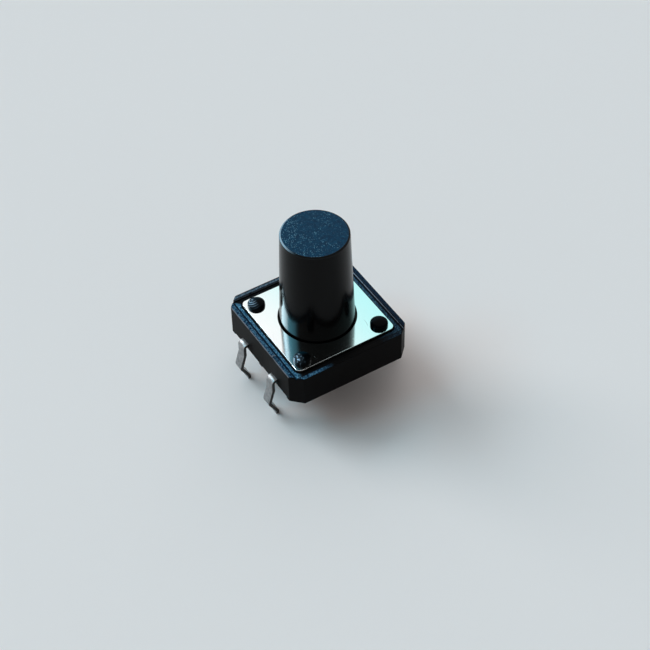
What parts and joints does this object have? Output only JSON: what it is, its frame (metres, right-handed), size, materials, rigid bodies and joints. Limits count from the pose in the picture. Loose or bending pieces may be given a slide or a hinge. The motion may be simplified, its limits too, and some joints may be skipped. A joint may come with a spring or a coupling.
{
  "type": "tactile push button switch",
  "caption": "Momentary push button for a circuit board: a square black base with a bright cover plate, a tall tapered round plunger and kinked legs.",
  "frame": {"origin": "centre of the footprint, on the plane of the board that the base sits on", "axes": "+Z along the plunger, away from the board; +X and -X towards the two sides that the legs leave"},
  "size_m": [0.014, 0.012, 0.0165],
  "materials": {
    "base_plastic": "satin moulded black, slightly grainy on the rim",
    "cover_metal": "bright rolled sheet metal, nearly a mirror",
    "button_plastic": "smooth black sides, matte top with fine scratches",
    "dome_metal": "bright spring steel",
    "terminal_metal": "tinned, slightly dull"
  },
  "bodies": {
    "housing": {"base": "base_plastic", "cover_plate": "cover_metal", "contact_dome": "dome_metal", "centre_terminal": "terminal_metal", "rim_terminal": "terminal_metal"},
    "plunger": {"button": "button_plastic"}
  },
  "joints": [
    {"name": "button_press", "type": "slide", "parent": "housing", "child": "plunger", "axis": [0, 0, -1], "range_m": [0, 0.0003], "stiffness_N_per_m": 5000, "springref_m": -0.0001, "deforming": ["contact_dome"]}
  ]
}
